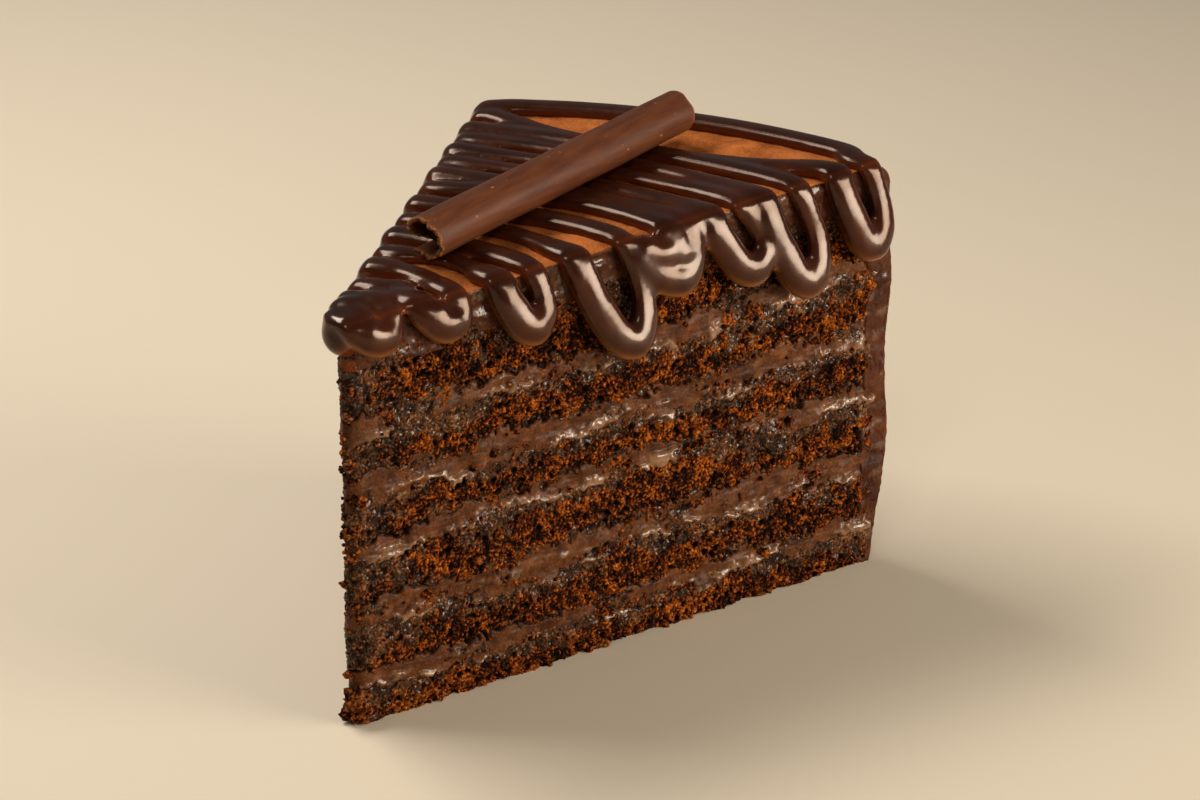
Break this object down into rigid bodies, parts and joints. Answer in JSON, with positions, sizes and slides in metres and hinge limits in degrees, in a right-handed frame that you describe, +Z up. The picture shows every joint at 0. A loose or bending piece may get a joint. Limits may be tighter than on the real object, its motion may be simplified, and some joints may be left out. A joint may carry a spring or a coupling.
{
  "type": "slice of chocolate layer cake",
  "caption": "Tall wedge of chocolate layer cake: thin sponges and fillings show at both cut faces, under a frosting coat, a looping chocolate drizzle and a hollow chocolate roll.",
  "frame": {"origin": "centre of the base of the whole slice's bounding box", "axes": "+X from the slice's tip towards its rim along its middle line, +Y across it, +Z up; the cut face with the longer drizzle loops is on the -Y side"},
  "size_m": [0.1392, 0.103, 0.1113],
  "materials": {
    "sponge": "open, moist dark chocolate crumb",
    "filling": "satin chocolate cream",
    "frosting": "spread chocolate frosting, cocoa-dusted on top",
    "drizzle": "wet, glossy dark chocolate",
    "roll": "satin milk-dark chocolate, broken at the ends"
  },
  "bodies": {
    "root": {"sponge_1": "sponge", "sponge_2": "sponge", "sponge_3": "sponge", "sponge_4": "sponge", "sponge_5": "sponge", "sponge_6": "sponge", "filling_1": "filling", "filling_2": "filling", "filling_3": "filling", "filling_4": "filling", "filling_5": "filling", "frosting": "frosting", "drizzle": "drizzle", "chocolate_roll": "roll"}
  },
  "joints": []
}
